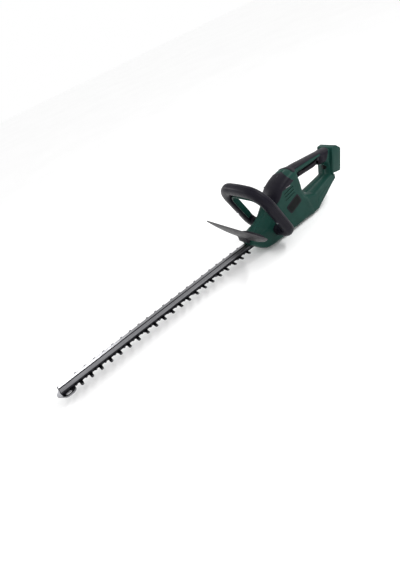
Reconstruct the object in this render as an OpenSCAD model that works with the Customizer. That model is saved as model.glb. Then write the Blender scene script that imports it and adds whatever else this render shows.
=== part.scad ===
// Cordless hedge trimmer without its battery.
// The origin is on the flat underside of the housing, straight below the crank axle.
// +X points along the bar to its tip, +Y is the user's left and +Z is up.

/* [Blades] */
// Distance from one tooth to the next
tooth_pitch = 25; // [22:1:28]
// Number of long teeth on each side
tooth_count = 21; // [10:1:21]
// Distance from the crank to the foremost long tooth
first_tooth_x = 620; // [560:5:630]
// How far the short teeth stand ahead of the long ones
tooth_lead = 11; // [8:0.5:12]
// Middle of the long teeth's round tips, from the blade's middle
long_tip_y = 23.7; // [22:0.1:25]
// Middle of the short teeth's round tips, from the blade's middle
short_tip_y = 15; // [14.5:0.1:16]
// Half the width of a blade between its teeth
blade_half_w = 11.8; // [11:0.1:12.5]
// Thickness of each blade
blade_t = 2.2; // [1.8:0.1:2.3]
// Height of the lower blade's underside
lower_blade_z = 29.9; // [29.9:0.1:30.2]
// Gap between the two blades
blade_gap = 0.3; // [0.3:0.05:0.4]
// Eccentric throw, half of each blade's stroke
throw = 5.5; // [4:0.5:5.5]

/* [Bar] */
// Front end of the support bar
bar_end_x = 666; // [660:1:670]
// Half the width of the support bar
bar_half_w = 13; // [12:0.5:14]
// Height of the bar's edges above its underside
bar_edge_h = 4.7; // [3.5:0.1:5]
// Height of the bar's ridge above its underside
bar_ridge_h = 7.2; // [6:0.1:8]
// Number of bar bolts
bolt_count = 8; // [6:1:8]
// Distance from one bar bolt to the next
bolt_pitch = 75; // [70:1:76]

/* [Housing] */
// Half the width of the motor and gear housing
body_half_w = 30; // [30:0.5:32]
// Half the width of the rear handle
grip_half_w = 17; // [16.5:0.5:18]
// Half the width of the bar under the hand hole
low_half_w = 24; // [22:0.5:24]
// Half the width of the battery dock
dock_half_w = 25; // [25:0.5:27]
// Wall thickness of the shells
wall = 3; // [2.5:0.1:3]
// Thickness of the soft covers
cover_t = 3; // [2.5:0.1:3]

/* [Front handle] */
// Forward lean of the front handle, in degrees
loop_tilt = 23.4; // [20:0.1:26]
// Half the width of the front handle, to the middle of its tube
loop_half_w = 72.5; // [68:0.5:78]
// Height of the handle's top tube above its foot, along the lean
loop_top = 153; // [145:1:160]
// Half the tube's depth, front to back
tube_half_d = 14; // [13:0.5:15]
// Half the tube's thickness, across
tube_half_t = 15; // [14:0.5:15]
// Travel of the squeeze lever
bail_travel = 4.5; // [3:0.5:4.5]

/* [Guard] */
// Half the width of the hand guard
guard_half_w = 117; // [105:1:125]
// Height of the guard's top edge
guard_top_z = 101; // [98:1:103]
// Forward lean of the guard's face, in degrees
guard_lean = 25; // [22:1:27]
// Drop of the guard's face in the middle, along its lean
guard_drop = 44; // [40:1:45]

/* [Drive] */
// Gear module
gear_module = 1; // [1]
// Teeth on the crank gear
gear_teeth = 48; // [48]
// Teeth on the pinion
pinion_teeth = 12; // [12]
// Radius of the eccentrics
cam_r = 12; // [11.8:0.1:12]
// Radius of the motor can
motor_r = 18.5; // [17:0.5:18.5]

/* [Hidden] */
$fn = 48;

green = [0.13, 0.27, 0.23];
black = [0.13, 0.13, 0.15];
steel = [0.62, 0.63, 0.65];
dark_steel = [0.2, 0.2, 0.22];

// Blades and bar
upper_blade_z = lower_blade_z + blade_t + blade_gap;
bar_z = upper_blade_z + blade_t + 0.3;
blade_tip_x = 648;
blade_root_x = -24;
yoke_half_w = 21;
cam_slot_half_y = 17.9;
yoke_front_x = 22;
long_tip_r = 3.6;
short_tip_r = 3.2;
tooth_root_w = 9.5;
slack = 0.3;
linear_error = 0.21 * throw;
sleeve_r = 4;
bolt_first_x = 70;
bolt_shank_r = 2.5;
bar_rear_x = 44;
hook_hole_y = 16.5;

// Drive
gear_r = gear_module * gear_teeth / 2;
pinion_r = gear_module * pinion_teeth / 2;
motor_x = -(gear_r + pinion_r);
gear_z = 37;
gear_h = 7;
axle_r = 4;
bush_r = 5;
hub_r = 6.2;
pin_x = -184;
pin_z = 131;
plate_z = 25;
plate_t = 3;
gearbox_top_z = 50;
can_z = 53;
can_h = 55;
shaft_r = 1.6;
fit = 0.05;

// Front handle, drawn in its own plane: x is the trimmer's y, y runs up the lean
loop_foot_x = 15.6;
loop_foot_z = 39.5;
foot_s = 2;
low_bend_r = 22;
top_bend_r = 45;
tube_wall = 3;
lever_t = 6;
lever_half_d = 8;
lever_gap = 0.6;
lever_top = loop_top - tube_half_t - bail_travel - 1;
spring_y = 22;

// Points along an arc from angle a0 to a1
function arc(c, r, a0, a1, n = 6) =
    [for (i = [0:n]) let (a = a0 + (a1 - a0) * i / n) c + r * [cos(a), sin(a)]];

// Rounded rectangle as an outline, centred, from its half sizes and corner radius
function round_rect(hw, hh, r, n = 5) = concat(
    arc([hw - r, hh - r], r, 0, 90, n), arc([r - hw, hh - r], r, 90, 180, n),
    arc([r - hw, r - hh], r, 180, 270, n), arc([hw - r, r - hh], r, 270, 360, n));

// Gear outline with straight-sided teeth and working backlash
function gear_outline(teeth, phase) = let (
        pr = gear_module * teeth / 2,
        step = 360 / teeth,
        root = 0.29 * step,
        tip = 0.13 * step)
    [for (i = [0:teeth - 1]) each let (a = i * step + phase) [
        (pr - 1.15 * gear_module) * [cos(a - root), sin(a - root)],
        (pr + 0.8 * gear_module) * [cos(a - tip), sin(a - tip)],
        (pr + 0.8 * gear_module) * [cos(a + tip), sin(a + tip)],
        (pr - 1.15 * gear_module) * [cos(a + root), sin(a + root)]]];

// Round tube swept along a path of points
module sweep(path, r, sides = 8) {
    n = len(path);
    function unit(v) = v / norm(v);
    function dir(i) = unit(path[min(i + 1, n - 1)] - path[max(i - 1, 0)]);
    function side_of(d) = unit(cross(d, abs(d.z) > 0.9 ? [0, 1, 0] : [0, 0, 1]));
    points = [for (i = [0:n - 1]) let (d = dir(i), u = side_of(d), v = cross(d, u))
        for (j = [0:sides - 1]) let (a = 360 * j / sides) path[i] + r * (cos(a) * u + sin(a) * v)];
    walls = [for (i = [0:n - 2], j = [0:sides - 1]) let (a = i * sides, b = a + sides, k = (j + 1) % sides)
        each [[a + j, a + k, b + k], [a + j, b + k, b + j]]];
    ends = [[for (j = [sides - 1:-1:0]) j], [for (j = [0:sides - 1]) (n - 1) * sides + j]];
    polyhedron(points, concat(walls, ends));
}

// Coil spring standing on z = 0
module coil(r, wire_r, h, turns) {
    steps = turns * 12;
    sweep([for (i = [0:steps]) let (a = 360 * turns * i / steps)
        [r * cos(a), r * sin(a), wire_r + (h - 2 * wire_r) * i / steps]], wire_r, 6);
}

// A side-view outline made solid across the trimmer, between two y values
module side_slab(outline, y0, y1) {
    translate([0, y1, 0]) rotate([90, 0, 0]) linear_extrude(y1 - y0) polygon(outline);
}

// Same as side_slab, on the left (1) or the right (-1)
module side_part(outline, y0, y1, side) {
    side_slab(outline, side > 0 ? y0 : -y1, side > 0 ? y1 : -y0);
}

// Cylinder across the trimmer, between two y values
module cross_pin(x, z, r, y0, y1) {
    translate([x, y1, z]) rotate([90, 0, 0]) cylinder(r = r, h = y1 - y0);
}

// ---- Housing ----
// Top line of the hump, from front to back, and of the rear handle
hump_line = [[26, 87], [12, 101], [-6, 126], [-16, 136], [-34, 145.5], [-54, 152], [-64, 154]];
band_line = [[-64, 154], [-75, 155.5], [-84, 155.5]];
grip_line = [[-84, 155.5], [-95, 155], [-112, 153], [-144, 149], [-185, 144], [-228, 138.8]];
base_line = [[-128, 3], [-118, 0], [40, 0], [59, 3.5], [76, 12.5], [90, 26.5], [104, 41.5], [106, 46]];
nose_line = [[106, 57], [83, 60], [58, 65]];
hand_hole = concat(arc([-138, 65], 8, 320, 262), arc([-206, 77], 6, 262, 170), [[-216, 92]],
    arc([-205, 99], 9, 170, 100), [[-194, 109.5], [-192, 113], [-192, 130]], [[-150, 130.5], [-112, 132]],
    arc([-109, 125], 7, 95, 0),
    [[-102, 92]], arc([-114, 88], 12, -5, -50));
handle_back = [[-238, 139.5], [-219, 67], [-234, 66], [-234, 50]];
dock_outline = concat([[-218, 68], [-224, 73]], [[-252, 66], [-265, 124], [-261, 128], [-250, 138.5]],
    [[-246, 139.5], [-233, 139.5]]);
bosses = [[-92, 12], [-94, 118], [-22, 130], [92, 50], [-122, 30], [-222, 66], [-213, 119], [44, 8]];

function sunk(line, d) = [for (p = line) p - [0, d]];
function reverse(line) = [for (i = [len(line) - 1:-1:0]) line[i]];

module housing_solid(side) {
    body = concat(base_line, nose_line, sunk(hump_line, cover_t), band_line,
        [[-84, 155.5 - cover_t], [-95, 155 - cover_t], [-98, 128]], [[-99, 92], [-104, 78], [-128, 57]]);
    handle = concat([[-100, 6], [-128, 3], [-144, 4], [-163, 14.5], [-188, 26], [-213, 39.5]],
        reverse(handle_back), [[-228, 139.5]], reverse(sunk(grip_line, cover_t)),
        [[-84, 155.5], [-75, 150], [-80, 60]]);
    low_bar = [[-100, 6], [-128, 3], [-144, 4], [-163, 14.5], [-188, 26], [-213, 39.5], [-234, 50],
        [-234, 66], [-219, 67], [-217, 74], [-100, 74]];
    difference() {
        union() {
            intersection() {
                side_part(body, 0, body_half_w, side);
                translate([-200, 0, 0]) rotate([90, 0, 90]) linear_extrude(400)
                    translate([0, 90]) polygon(round_rect(body_half_w, 90, 13));
            }
            side_part(handle, 0, grip_half_w, side);
            side_part(low_bar, 0, low_half_w, side);
            side_part(dock_outline, 0, dock_half_w, side);
        }
        side_part(hand_hole, -1, body_half_w + 1, side);
    }
}

module housing_hollow(side) {
    main_hollow = concat([[-114, 3], [40, 3], [57, 6.5], [74, 15.5], [87, 28.5], [101, 44], [103, 47]],
        [[103, 54], [82, 57], [56, 61.5]], sunk(hump_line, 2 * cover_t + 1), [[-75, 151.5], [-93, 151]],
        [[-95, 128], [-95, 90], [-101, 72], [-119, 56], [-121, 6]]);
    grip_hollow = [[-90, 151], [-95, 149], [-112, 147], [-144, 143], [-185, 138], [-236, 132.5],
        [-236, 128], [-205, 132.5], [-150, 133.5], [-90, 135]];
    low_hollow = [[-131, 10], [-143, 9], [-162, 19], [-187, 30.5], [-211, 43.5], [-228, 53], [-228, 60],
        [-214, 66], [-206, 66.5], [-139, 52.5], [-131, 48]];
    side_part(main_hollow, -1, body_half_w - wall, side);
    side_part(grip_hollow, -1, grip_half_w - wall, side);
    side_part(low_hollow, -1, low_half_w - wall, side);
    // Slot under the rear handle that the trigger comes out of
    side_part([[-106, 126], [-192, 126], [-192, 137], [-106, 147]], -1, 8.5, side);
    // Recess of the battery dock, open to the back and to the bottom
    side_part([[-240, 60], [-254, 119], [-275, 119], [-275, 60]], -1, dock_half_w - 6, side);
    // Way out for the blades and the bar
    side_part([[60, 28], [115, 28], [115, 43.4], [60, 43.4]], -1, 21, side);
}

module vent_slots(side) {
    for (i = [0:2])
        translate([-45, side * body_half_w, 114 - 10.5 * i]) rotate([0, 13, 0])
            cube([33, 8, 3.4], center = true);
}

module boss(x, z, reach, side) {
    cross_pin(x, z, 4.5, side > 0 ? 0 : -reach, side > 0 ? reach : 0);
}

function boss_reach(p) = (p.x > -130 ? body_half_w : p.y < 70 ? low_half_w : grip_half_w) - wall;

module housing_shell(side) {
    difference() {
        union() {
            difference() {
                housing_solid(side);
                housing_hollow(side);
            }
            for (p = bosses) boss(p.x, p.y, boss_reach(p) + 1, side);
            // Seats for the trigger's pin
            cross_pin(pin_x, pin_z, 4, side > 0 ? 0 : -15, side > 0 ? 15 : 0);
        }
        vent_slots(side);
        cross_pin(pin_x, pin_z, 2, -grip_half_w + 1.5, grip_half_w - 1.5);
        translate([pin_x, 0, pin_z - 1.5]) cube([14, 17, 14], center = true);
        guard_screw_holes(2.1);
        for (p = bosses) {
            if (side > 0) cross_pin(p.x, p.y, 1.5, -1, 12);
            if (side < 0) cross_pin(p.x, p.y, 1.6, -40, 1);
            if (side < 0) cross_pin(p.x, p.y, 3.3, -40, -boss_reach(p) + 1);
        }
    }
}

module housing_left() {
    color(green) difference() {
        housing_shell(1);
        badge_solid(1.2);
    }
}

module housing_right() {
    color(green) housing_shell(-1);
}

module housing_screws() {
    color(dark_steel) for (p = bosses) {
        cross_pin(p.x, p.y, 1.5, -boss_reach(p) + 0.5, 11.5);
        cross_pin(p.x, p.y, 3, -boss_reach(p) - 1.6, -boss_reach(p) + 1);
    }
}

module top_strip(line, half_w) {
    side_slab(concat(line, reverse(sunk(line, cover_t))), -half_w, half_w);
}

module hump_cover() {
    color(black) top_strip(hump_line, body_half_w - 4);
}

module grip_cover() {
    color(black) top_strip(grip_line, grip_half_w - 1);
}

module badge_solid(depth) {
    translate([-54, body_half_w - depth, 74]) rotate([-90, 0, 0]) rotate([0, 0, 18])
        linear_extrude(depth) polygon(round_rect(25, 13, 5));
}

module badge_plate() {
    color(black) badge_solid(1.2);
}

// ---- Hand guard ----
// The face lies in its own plane: x is the trimmer's y and y runs down the lean
module guard_plane() {
    translate([127, 0, guard_top_z]) rotate([0, 180 + guard_lean, 0]) rotate([90, 0, 90]) children();
}

module hand_guard() {
    // The lower edge sweeps up to the ends
    end_drop = 2;
    face = concat([[guard_half_w - 1, 0], [1 - guard_half_w, 0]],
        [for (i = [-10:10]) let (t = i / 10)
            [guard_half_w * t, end_drop + (guard_drop - end_drop) * (1 - pow(abs(t), 3))]]);
    foot = [[84, 60], [106.2, 57.3], [106.2, 50], [109.2, 50], [109.2, 62], [117, 82], [112, 82], [84, 64]];
    color([0.3, 0.3, 0.32]) difference() {
        union() {
            guard_plane() linear_extrude(3) polygon(face);
            // Ledge behind the left wing's top edge
            translate([117, 28, guard_top_z - 3.2]) cube([8, 80, 3]);
            side_slab(foot, -24, 24);
        }
        guard_screw_holes(2.2);
        for (y = [-15, 15]) translate([98, y, 66]) cylinder(r = 4.5, h = 60);
    }
}

module guard_screw_holes(r) {
    for (y = [-15, 15]) translate([98, y, 48]) cylinder(r = r, h = 20);
}

module guard_screws() {
    color(dark_steel) for (y = [-15, 15]) translate([98, y, 0]) {
        translate([0, 0, 50]) cylinder(r = 2.1, h = 16);
        translate([0, 0, 66]) cylinder(r = 4, h = 3);
    }
}

// ---- Front handle ----
module loop_plane() {
    translate([loop_foot_x, 0, loop_foot_z]) rotate([0, loop_tilt, 0]) rotate([90, 0, 90]) children();
}

// One side of the handle's tube; the section's x points outwards and its y to the front
module loop_half() {
    leg_base = foot_s + low_bend_r;
    leg_top = loop_top - top_bend_r;
    foot_end = body_half_w;
    translate([0, loop_top, 0]) rotate([90, 0, 90]) linear_extrude(loop_half_w - top_bend_r) children();
    translate([loop_half_w - top_bend_r, leg_top, 0])
        rotate_extrude(angle = 90) translate([top_bend_r, 0]) children();
    translate([loop_half_w, leg_top, 0]) rotate([90, 0, 0]) linear_extrude(leg_top - leg_base) children();
    translate([loop_half_w - low_bend_r, leg_base, 0]) rotate([0, 0, -90])
        rotate_extrude(angle = 90) translate([low_bend_r, 0]) children();
    translate([loop_half_w - low_bend_r, foot_s, 0]) rotate([90, 0, -90])
        linear_extrude(loop_half_w - low_bend_r - foot_end) children();
}

module loop_tube() {
    for (m = [0, 1]) mirror([m, 0, 0]) loop_half() children();
}

module tube_section(inset) {
    polygon(round_rect(tube_half_t - inset, tube_half_d - inset, 9 - inset));
}

// Front (1) or rear (-1) half of the tube's section, hollow
module shell_section(front) {
    difference() {
        intersection() {
            tube_section(0);
            translate([-20, front > 0 ? 0 : -20]) square([40, 20]);
        }
        tube_section(tube_wall);
    }
}

module loop_openings() {
    // Ways through the underside of the top tube for the springs and the lever's post
    for (y = [-spring_y, spring_y, 0])
        translate([y, loop_top - tube_half_t - 1, 0]) rotate([-90, 0, 0])
            cylinder(r = y == 0 ? 3.5 : 5, h = tube_wall + 2);
}

module spring_seats(front) {
    for (y = [-spring_y, spring_y])
        translate([y - 6, loop_top - 2, front > 0 ? 0 : -tube_half_d + 2]) cube([12, 4, tube_half_d - 2]);
}

module loop_shell(front) {
    loop_plane() {
        difference() {
            loop_tube() shell_section(front);
            loop_openings();
            for (p = loop_screw_places) translate([p.x, p.y, -20]) cylinder(r = 1.7, h = 40);
            if (front > 0) for (p = loop_screw_places)
                translate([p.x, p.y, tube_half_d - 1.5]) cylinder(r = 3.4, h = 5);
        }
        spring_seats(front);
        for (p = loop_screw_places) difference() {
            translate([p.x, p.y, front > 0 ? 0 : -tube_half_d + 2]) cylinder(r = 4, h = tube_half_d - 2);
            translate([p.x, p.y, -20]) cylinder(r = front > 0 ? 1.7 : 1.5, h = 40);
            if (front > 0) translate([p.x, p.y, tube_half_d - 1.5]) cylinder(r = 3.4, h = 5);
        }
    }
}

loop_screw_places = [[-loop_half_w, 57], [loop_half_w, 57]];

module loop_rear_shell() {
    color(black) loop_shell(-1);
}

module loop_front_shell() {
    color(black) loop_shell(1);
}

module loop_screws() {
    color(steel) loop_plane() for (p = loop_screw_places) translate([p.x, p.y, 0]) {
        translate([0, 0, -tube_half_d + 2.5]) cylinder(r = 1.5, h = 2 * tube_half_d - 5);
        translate([0, 0, tube_half_d - 1.5]) cylinder(r = 3.1, h = 1.3);
    }
}

// ---- Squeeze lever inside the front handle ----
module bail_lever() {
    outer_w = loop_half_w - tube_half_t - lever_gap;
    bend_r = top_bend_r - tube_half_t - lever_gap;
    leg_base = 34;
    leg_top = lever_top - bend_r;
    mid = lever_t / 2;
    color(green) loop_plane() {
        for (m = [0, 1]) mirror([m, 0, 0]) {
            translate([0, lever_top - mid, 0]) rotate([90, 0, 90])
                linear_extrude(outer_w - bend_r) lever_section();
            translate([outer_w - bend_r, leg_top, 0])
                rotate_extrude(angle = 90) translate([bend_r - mid, 0]) lever_section();
            translate([outer_w - mid, leg_top, 0]) rotate([90, 0, 0])
                linear_extrude(leg_top - leg_base) lever_section();
        }
        // Post that works the switch
        translate([0, lever_top - 2, 0]) rotate([-90, 0, 0]) cylinder(r = 3, h = 13);
    }
}

module lever_section() {
    polygon(round_rect(lever_t / 2, lever_half_d, 2, 3));
}

module bail_springs() {
    color(steel) loop_plane() for (y = [-spring_y, spring_y])
        translate([y, lever_top, 0]) rotate([-90, 0, 0]) coil(3.6, 0.5, loop_top - 2 - lever_top, 5);
}

module bail_switch() {
    color([0.2, 0.2, 0.2]) loop_plane() translate([-10, lever_top + 11 + bail_travel + 0.3, -5])
        cube([20, 6, 10]);
}

// ---- Trigger ----
module trigger() {
    outline = concat(arc([pin_x, pin_z], 5.5, 190, 60), [[-177, 129.4], [-135, 129.2], [-128, 134.5]],
        arc([-114, 129], 5.5, 90, 0, 4), arc([-113.5, 118], 5, 0, -90), [[-127, 112.3], [-150, 110.3]],
        [[-176, 108.6]], arc([-184, 114], 5.5, 270, 180));
    color(black) difference() {
        side_slab(outline, -7.5, 7.5);
        cross_pin(pin_x, pin_z, 2 + fit, -10, 10);
    }
}

module trigger_pin() {
    color(steel) cross_pin(pin_x, pin_z, 2, -grip_half_w + 1.5, grip_half_w - 1.5);
}

module trigger_spring() {
    color(steel) translate([-119, 0, 134.5]) coil(3.6, 0.5, 11, 5);
}

module trigger_switch() {
    color([0.2, 0.2, 0.2]) translate([-166, -7, 133.4]) cube([28, 14, 6.5]);
}

// ---- Battery dock ----
module dock_frame() {
    translate([-240, 0, 60]) rotate([0, -13.35, 0]) children();
}

module battery_rails() {
    color(black) dock_frame() {
        translate([-3.2, -18.8, 4]) cube([3, 37.6, 52]);
        for (m = [0, 1]) mirror([0, m, 0]) {
            translate([-9.2, 11, 4]) cube([6.2, 2.5, 52]);
            translate([-11.4, 11, 4]) cube([2.4, 6, 52]);
        }
    }
}

module terminal_block() {
    color([0.2, 0.2, 0.2]) dock_frame() translate([-11.2, -9, 42]) cube([8, 18, 14]);
}

module terminal_blades() {
    color([0.75, 0.6, 0.3]) dock_frame() for (y = [-6, 0, 6])
        translate([-9.2, y - 0.4, 28]) cube([4.5, 0.8, 14]);
}

module lead_pair(route, offset) {
    for (s = [-1, 1]) sweep([for (p = route) p + [0, s * offset, 0]], 1);
}

module battery_leads() {
    color([0.7, 0.1, 0.1]) lead_pair([[-234, 10, 130.3], [-222, 10, 131.8], [-205, 10, 134.2],
        [-190, 10, 136], [-176, 10, 137.4]], 1.2);
}

module motor_leads() {
    color([0.1, 0.1, 0.1]) lead_pair([[-136, 10, 140], [-110, 11, 143], [-84, 11, 144], [-60, 9, 140],
        [-40, 8, 130], [-34, 8, 121]], 1.2);
}

// ---- Motor ----
module motor_can() {
    color(steel) translate([motor_x, 0, can_z]) difference() {
        cylinder(r = motor_r, h = can_h);
        translate([0, 0, 2]) cylinder(r = motor_r - 1.5, h = can_h);
        translate([0, 0, -1]) cylinder(r = 5, h = 5);
    }
}

module motor_magnets() {
    color(dark_steel) translate([motor_x, 0, can_z + 6]) difference() {
        cylinder(r = motor_r - 1.5, h = 40);
        translate([0, 0, -1]) cylinder(r = motor_r - 5, h = 42);
        for (a = [0, 90]) rotate([0, 0, a]) translate([-30, -3, -1]) cube([60, 6, 42]);
    }
}

module motor_end_cap() {
    color([0.15, 0.15, 0.15]) translate([motor_x, 0, can_z + can_h]) difference() {
        cylinder(r = motor_r, h = 9);
        translate([0, 0, -1]) cylinder(r = motor_r - 2.5, h = 7);
        translate([0, 0, -1]) cylinder(r = 5, h = 12);
    }
}

module bearing_ring(z) {
    translate([motor_x, 0, z]) difference() {
        cylinder(r = 5, h = 3);
        translate([0, 0, -1]) cylinder(r = shaft_r + fit, h = 5);
    }
}

module motor_bearings() {
    color([0.6, 0.45, 0.2]) {
        bearing_ring(can_z - 1);
        bearing_ring(can_z + can_h + 6);
    }
}

module rotor() {
    color([0.45, 0.3, 0.2]) translate([motor_x, 0, 0]) {
        translate([0, 0, gear_z]) cylinder(r = shaft_r, h = can_z + can_h + 11 - gear_z);
        translate([0, 0, can_z + 12]) cylinder(r = 12.5, h = 32);
        translate([0, 0, can_z + 44]) cylinder(r = 5, h = 9);
    }
}

module motor_fan() {
    color([0.2, 0.2, 0.2]) translate([motor_x, 0, can_z + 5]) difference() {
        union() {
            cylinder(r = 12, h = 1.5);
            cylinder(r = 3.5, h = 6);
            for (i = [0:7]) rotate([0, 0, 45 * i]) translate([3, -0.6, 0]) cube([9, 1.2, 6]);
        }
        translate([0, 0, -1]) cylinder(r = shaft_r, h = 9);
    }
}

module pinion() {
    color(steel) translate([motor_x, 0, gear_z]) difference() {
        linear_extrude(gear_h + 2) polygon(gear_outline(pinion_teeth, 180 / pinion_teeth));
        translate([0, 0, -1]) cylinder(r = shaft_r, h = gear_h + 4);
    }
}

// ---- Gearbox ----
gearbox_screw_places = [[-45, -23.9], [-45, 23.9], [36, -23.9], [36, 23.9]];

module gearbox_base() {
    outline = concat(arc([-46, -22.5], 4, 180, 270, 3), arc([75, -21.5], 5, 270, 360, 3),
        arc([75, 21.5], 5, 0, 90, 3), arc([-46, 22.5], 4, 90, 180, 3));
    color(steel) difference() {
        translate([0, 0, plate_z]) linear_extrude(plate_t) polygon(outline);
        translate([0, 0, plate_z - 1]) cylinder(r = axle_r, h = 9);
        for (p = gearbox_screw_places) translate([p.x, p.y, plate_z - 1]) cylinder(r = 1.5, h = 9);
        translate([bolt_first_x, 0, plate_z - 1]) cylinder(r = bolt_shank_r, h = 9);
    }
}

module gearbox_cover() {
    yoke_room = yoke_half_w + 0.8;
    color([0.55, 0.56, 0.58]) difference() {
        translate([-4.5, 0, plate_z + plate_t]) linear_extrude(gearbox_top_z - plate_z - plate_t)
            polygon(round_rect(46, 26.8, 4));
        // Room for the gear and the pinion
        translate([0, 0, gear_z - 1.2]) cylinder(r = gear_r + gear_module + 0.3, h = gear_h + 3);
        translate([motor_x, 0, gear_z - 1.2]) cylinder(r = 8, h = 20);
        // Room for the blades' yokes, open to the front
        translate([blade_root_x - 7, -yoke_room, plate_z + 1]) cube([80, 2 * yoke_room, 11.4]);
        translate([0, 0, plate_z]) cylinder(r = axle_r, h = 30);
        for (p = gearbox_screw_places) translate([p.x, p.y, plate_z]) cylinder(r = 1.5, h = 10);
    }
}

module gearbox_screws() {
    color(dark_steel) for (p = gearbox_screw_places) translate([p.x, p.y, plate_z - 2]) {
        cylinder(r = 2.8, h = 2);
        translate([0, 0, 2]) cylinder(r = 1.5, h = 10);
    }
}

module crank_axle() {
    color(steel) translate([0, 0, plate_z]) cylinder(r = axle_r, h = gearbox_top_z - plate_z + 1);
}

module crank_gear() {
    color(steel) difference() {
        union() {
            translate([0, 0, gear_z]) linear_extrude(gear_h) polygon(gear_outline(gear_teeth, 0));
            translate([0, 0, lower_blade_z - 0.5]) cylinder(r = hub_r, h = gear_z - lower_blade_z + 0.5);
            translate([0, throw, upper_blade_z]) cylinder(r = cam_r, h = blade_t);
            translate([0, -throw, lower_blade_z]) cylinder(r = cam_r, h = blade_t);
        }
        translate([0, 0, plate_z]) cylinder(r = bush_r, h = 40);
    }
}

module crank_bush() {
    color([0.6, 0.45, 0.2]) translate([0, 0, lower_blade_z - 0.5]) difference() {
        cylinder(r = bush_r, h = gear_z + gear_h - lower_blade_z + 0.5);
        translate([0, 0, -1]) cylinder(r = axle_r + fit, h = 40);
    }
}

module axle_clip() {
    color(dark_steel) translate([0, 0, gearbox_top_z]) difference() {
        cylinder(r = 6.5, h = 1);
        translate([0, 0, -1]) cylinder(r = axle_r, h = 3);
    }
}

// ---- Blades and bar ----
function tooth_x(i) = first_tooth_x - tooth_pitch * i;
function bolt_x(i) = bolt_first_x + bolt_pitch * i;

// One tooth on the +y side, from its rear foot over the round tip to its front foot
function tooth(x, tip_y, tip_r) = concat([[x - tooth_root_w / 2, blade_half_w]],
    arc([x, tip_y], tip_r, 172, 8, 8), [[x + tooth_root_w / 2, blade_half_w]]);

// Blade outline on the +y side, from the root to the tip
function blade_side(first_x, tip_y, tip_r) = concat(
    [[blade_root_x, yoke_half_w], [yoke_front_x, yoke_half_w], [34, blade_half_w]],
    [for (i = [tooth_count - 1:-1:0]) each tooth(first_x - tooth_pitch * i, tip_y, tip_r)],
    [[blade_tip_x - 6, blade_half_w], [blade_tip_x, blade_half_w - 6]]);

module blade(first_x, tip_y, tip_r) {
    cam_slot = cam_r + linear_error + slack;
    half = blade_side(first_x, tip_y, tip_r);
    difference() {
        linear_extrude(blade_t) polygon(concat(half, [for (p = reverse(half)) [p.x, -p.y]]));
        translate([-cam_slot, -cam_slot_half_y, -1]) cube([2 * cam_slot, 2 * cam_slot_half_y, 9]);
        for (i = [0:bolt_count - 1]) bolt_slot(bolt_x(i));
    }
}

module bolt_slot(x) {
    half_w = sleeve_r + slack;
    translate([x - throw - slack, 0, -1]) cylinder(r = half_w, h = 9);
    translate([x + throw + slack, 0, -1]) cylinder(r = half_w, h = 9);
    translate([x - throw - slack, -half_w, -1]) cube([2 * throw + 2 * slack, 2 * half_w, 9]);
}

module upper_blade() {
    color(dark_steel) translate([0, 0, upper_blade_z])
        blade(first_tooth_x + tooth_lead, short_tip_y, short_tip_r);
}

module lower_blade() {
    color(dark_steel) translate([0, 0, lower_blade_z]) blade(first_tooth_x, long_tip_y, long_tip_r);
}

module support_bar() {
    section = [[-bar_half_w, 0], [bar_half_w, 0], [bar_half_w, bar_edge_h], [2.3, bar_ridge_h],
        [1.3, bar_ridge_h - 1.6], [-1.3, bar_ridge_h - 1.6], [-2.3, bar_ridge_h], [-bar_half_w, bar_edge_h]];
    color([0.8, 0.8, 0.82]) difference() {
        translate([bar_rear_x, 0, bar_z]) rotate([90, 0, 90]) linear_extrude(bar_end_x - 2 - bar_rear_x)
            polygon(section);
        for (i = [0:bolt_count - 1]) translate([bolt_x(i), 0, bar_z - 1]) cylinder(r = bolt_shank_r, h = 5);
        for (y = [-7, 7]) translate([658, y, bar_z - 1]) cylinder(r = 2, h = 4);
    }
}

module bar_bolts() {
    color(dark_steel) for (i = [0:bolt_count - 1]) translate([bolt_x(i), 0, 0]) {
        translate([0, 0, plate_z - 4]) cylinder(r = 4.6, h = i == 0 ? 4 : 6.2, $fn = 6);
        translate([0, 0, plate_z - 1]) cylinder(r = bolt_shank_r, h = bar_z + 4 - plate_z + 1);
    }
}

module bar_washers() {
    color(steel) for (i = [1:bolt_count - 1]) translate([bolt_x(i), 0, plate_z + 2.2]) difference() {
        cylinder(r = 8, h = 2.2);
        translate([0, 0, -1]) cylinder(r = bolt_shank_r, h = 5);
    }
}

module bar_sleeves() {
    color(steel) for (i = [0:bolt_count - 1]) {
        base = i == 0 ? plate_z + plate_t : plate_z + 4.4;
        translate([bolt_x(i), 0, base]) difference() {
            cylinder(r = sleeve_r, h = bar_z - base);
            translate([0, 0, -1]) cylinder(r = bolt_shank_r, h = 20);
        }
    }
}

module bar_end_block() {
    color(black) difference() {
        union() {
            translate([655, -11, 29.6]) cube([9, 22, bar_z - 29.6]);
            translate([bar_end_x - 2, -bar_half_w, 29.6])
                cube([2, 2 * bar_half_w, bar_z + bar_edge_h - 29.6]);
        }
        for (y = [-7, 7]) translate([658, y, 20]) cylinder(r = 2, h = 30);
    }
}

module tip_guard() {
    half = concat(arc([668, 0], 8, 0, 45, 3), arc([655, 13.5], 10, 45, 90, 4),
        arc([645, 13.5], 10, 90, 180, 6));
    outline = concat(half, [for (p = reverse(half)) [p.x, -p.y]]);
    color([0.6, 0.6, 0.62]) translate([0, 0, 26]) difference() {
        linear_extrude(3.6) polygon(outline);
        for (m = [-1, 1]) {
            translate([648, hook_hole_y * m, -1]) cylinder(r = 3, h = 6);
            translate([656, hook_hole_y * m, -1]) cylinder(r = 3, h = 6);
            translate([648, hook_hole_y * m - 3, -1]) cube([8, 6, 6]);
            translate([658, 7 * m, -1]) cylinder(r = 2, h = 6);
        }
    }
}

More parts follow.
